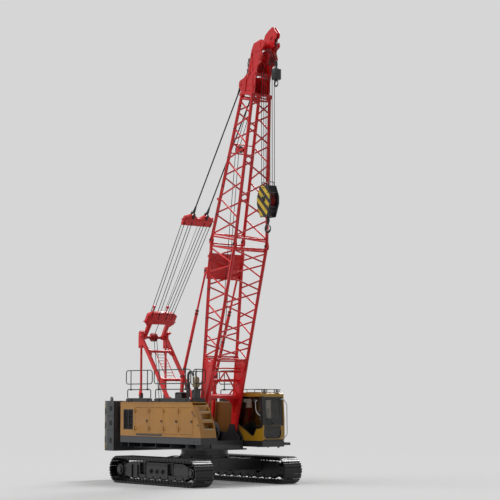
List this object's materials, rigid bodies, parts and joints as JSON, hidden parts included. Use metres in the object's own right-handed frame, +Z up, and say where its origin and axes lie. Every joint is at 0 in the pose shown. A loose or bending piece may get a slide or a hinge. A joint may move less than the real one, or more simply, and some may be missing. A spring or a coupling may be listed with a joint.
{
  "type": "crawler crane",
  "caption": "Crawler crane with a lattice boom on a slewing upper deck, luffed by a gantry and bridle, carrying a main hook block and an auxiliary hook.",
  "frame": {"origin": "on the ground under the slewing axis, midway between the tracks", "axes": "+X forward, +Y to the driver's left, +Z up"},
  "size_m": [8.5052, 4.56, 15.5342],
  "materials": {
    "bare_steel": "bare machined steel",
    "black_paint": "satin black paint",
    "black_track": "dark worn track steel",
    "glazing": "tinted safety glass",
    "grey_paint": "dark grey machine paint",
    "hook_paint": "yellow hook block with black stripes",
    "red_paint": "gloss red boom paint",
    "seat_fabric": "woven seat cloth",
    "wire_rope": "greased wire rope",
    "yellow_paint": "ochre yellow machine paint"
  },
  "bodies": {
    "undercarriage": {"carbody": "grey_paint", "slew_ring_outer": "bare_steel", "track_left": "black_track", "track_frame_left": "grey_paint", "track_wheels_left": "black_track", "track_right": "black_track", "track_frame_right": "grey_paint", "track_wheels_right": "black_track"},
    "upperworks": {"revolving_frame": "grey_paint", "slew_ring_inner": "bare_steel", "counterweight_lower": "grey_paint", "counterweight_middle": "grey_paint", "counterweight_upper": "grey_paint", "engine_house": "yellow_paint", "side_grille": "black_paint", "left_house": "yellow_paint", "engine": "black_paint", "step_unit": "yellow_paint", "roof_gear": "black_paint", "guardrails": "black_paint", "gantry": "red_paint", "gantry_rear_legs": "red_paint", "backstop_posts": "red_paint", "cab_platform": "black_paint", "cab_shell": "yellow_paint", "cab_windows": "glazing", "operator_seat": "seat_fabric"},
    "house_door_1": {"house_door_1": "yellow_paint"},
    "house_door_2": {"house_door_2": "yellow_paint"},
    "house_door_3": {"house_door_3": "yellow_paint"},
    "house_door_4": {"house_door_4": "yellow_paint"},
    "cab_door": {"cab_door": "yellow_paint", "cab_door_glass": "glazing"},
    "hoist_drum_front": {"hoist_drum_front": "black_paint"},
    "hoist_drum_rear": {"hoist_drum_rear": "black_paint"},
    "luffing_drum": {"luffing_drum": "black_paint"},
    "lower_equalizer": {"lower_equalizer": "red_paint"},
    "boom": {"boom_base_section": "red_paint", "boom_tip_section": "red_paint", "boom_head": "red_paint"},
    "bridle": {"upper_equalizer": "red_paint", "pendants": "wire_rope"},
    "head_sheaves": {"head_sheaves": "bare_steel"},
    "aux_sheave": {"aux_sheave": "bare_steel"},
    "backstop_tube_left": {"backstop_tube_left": "red_paint"},
    "backstop_tube_right": {"backstop_tube_right": "red_paint"},
    "backstop_rod_left": {"backstop_rod_left": "red_paint"},
    "backstop_rod_right": {"backstop_rod_right": "red_paint"},
    "main_falls": {"main_falls": "wire_rope"},
    "main_hook_block": {"main_hook_block": "hook_paint", "main_block_sheaves": "bare_steel"},
    "main_hook": {"main_hook": "black_paint"},
    "aux_falls": {"aux_falls": "wire_rope"},
    "aux_hook_block": {"aux_hook_block": "black_paint"},
    "aux_hook": {"aux_hook": "black_paint"}
  },
  "joints": [
    {"name": "slewing", "type": "hinge", "parent": "undercarriage", "child": "upperworks", "pos_m": [0, 0, 1.1], "axis": [0, 0, 1], "continuous": true},
    {"name": "boom_luff", "type": "hinge", "parent": "upperworks", "child": "boom", "pos_m": [0.78, 0, 1.91], "axis": [0, -1, 0], "range_deg": [-49.5, 0.5]},
    {"name": "lower_equalizer_pivot", "type": "hinge", "parent": "upperworks", "child": "lower_equalizer", "pos_m": [-3.18, 0, 5.2], "axis": [0, -1, 0], "range_deg": [-45, 1]},
    {"name": "bridle_reach", "type": "slide", "parent": "lower_equalizer", "child": "bridle", "axis": [0.5533, 0, 0.833], "range_m": [-0.05, 4.25]},
    {"name": "main_falls_swing", "type": "hinge", "parent": "boom", "child": "main_falls", "pos_m": [3.55954, 0, 14.51453], "axis": [0, -1, 0], "range_deg": [-1, 50]},
    {"name": "main_hoist", "type": "slide", "parent": "main_falls", "child": "main_hook_block", "axis": [0, 0, -1], "range_m": [-3.2, 7.2]},
    {"name": "main_hook_swivel", "type": "hinge", "parent": "main_hook_block", "child": "main_hook", "pos_m": [3.55954, 0, 9], "axis": [0, 0, 1], "continuous": true},
    {"name": "aux_falls_swing", "type": "hinge", "parent": "boom", "child": "aux_falls", "pos_m": [3.81886, 0, 15.17839], "axis": [0, -1, 0], "range_deg": [-1, 50]},
    {"name": "aux_hoist", "type": "slide", "parent": "aux_falls", "child": "aux_hook_block", "axis": [0, 0, -1], "range_m": [0, 12]},
    {"name": "aux_hook_swivel", "type": "hinge", "parent": "aux_hook_block", "child": "aux_hook", "pos_m": [4.01016, 0, 13.76], "axis": [0, 0, 1], "continuous": true},
    {"name": "head_sheaves_turn", "type": "hinge", "parent": "boom", "child": "head_sheaves", "pos_m": [3.55954, 0, 14.51453], "axis": [0, 1, 0], "continuous": true},
    {"name": "aux_sheave_turn", "type": "hinge", "parent": "boom", "child": "aux_sheave", "pos_m": [3.81886, 0, 15.17839], "axis": [0, 1, 0], "continuous": true},
    {"name": "backstop_foot_left", "type": "hinge", "parent": "upperworks", "child": "backstop_tube_left", "pos_m": [-0.33, 0.715, 3.73], "axis": [0, -1, 0], "range_deg": [-55, 1]},
    {"name": "backstop_stroke_left", "type": "slide", "parent": "backstop_tube_left", "child": "backstop_rod_left", "axis": [0.3448, 0, 0.9387], "range_m": [-0.03, 1.78]},
    {"name": "backstop_foot_right", "type": "hinge", "parent": "upperworks", "child": "backstop_tube_right", "pos_m": [-0.33, -0.715, 3.73], "axis": [0, -1, 0], "range_deg": [-55, 1]},
    {"name": "backstop_stroke_right", "type": "slide", "parent": "backstop_tube_right", "child": "backstop_rod_right", "axis": [0.3448, 0, 0.9387], "range_m": [-0.03, 1.78]},
    {"name": "hoist_drum_front_turn", "type": "hinge", "parent": "upperworks", "child": "hoist_drum_front", "pos_m": [-0.12, 0, 1.8], "axis": [0, 1, 0], "continuous": true},
    {"name": "hoist_drum_rear_turn", "type": "hinge", "parent": "upperworks", "child": "hoist_drum_rear", "pos_m": [-1.5, 0, 1.8], "axis": [0, 1, 0], "continuous": true},
    {"name": "luffing_drum_turn", "type": "hinge", "parent": "upperworks", "child": "luffing_drum", "pos_m": [-2.35, 0, 1.75], "axis": [0, 1, 0], "continuous": true},
    {"name": "house_door_1_hinge", "type": "hinge", "parent": "upperworks", "child": "house_door_1", "pos_m": [-2.155, -1.522, 2.2], "axis": [0, 0, -1], "range_deg": [0, 90]},
    {"name": "house_door_2_hinge", "type": "hinge", "parent": "upperworks", "child": "house_door_2", "pos_m": [-1.265, -1.522, 2.2], "axis": [0, 0, -1], "range_deg": [0, 90]},
    {"name": "house_door_3_hinge", "type": "hinge", "parent": "upperworks", "child": "house_door_3", "pos_m": [-0.375, -1.522, 2.2], "axis": [0, 0, -1], "range_deg": [0, 90]},
    {"name": "house_door_4_hinge", "type": "hinge", "parent": "upperworks", "child": "house_door_4", "pos_m": [0.515, -1.522, 2.2], "axis": [0, 0, -1], "range_deg": [0, 90]},
    {"name": "cab_door_hinge", "type": "hinge", "parent": "upperworks", "child": "cab_door", "pos_m": [0.745, 1.812, 2.3], "axis": [0, 0, 1], "range_deg": [0, 90]}
  ],
  "couplings": [
    {"joint": "bridle_reach", "follows": "boom_luff", "m_per_rad": -4.8048},
    {"joint": "lower_equalizer_pivot", "follows": "boom_luff", "ratio": 0.88927},
    {"joint": "main_falls_swing", "follows": "boom_luff", "ratio": -1},
    {"joint": "aux_falls_swing", "follows": "boom_luff", "ratio": -1},
    {"joint": "backstop_foot_left", "follows": "boom_luff", "ratio": 1.0869},
    {"joint": "backstop_stroke_left", "follows": "boom_luff", "m_per_rad": -2.0257},
    {"joint": "backstop_foot_right", "follows": "boom_luff", "ratio": 1.0869},
    {"joint": "backstop_stroke_right", "follows": "boom_luff", "m_per_rad": -2.0257}
  ]
}
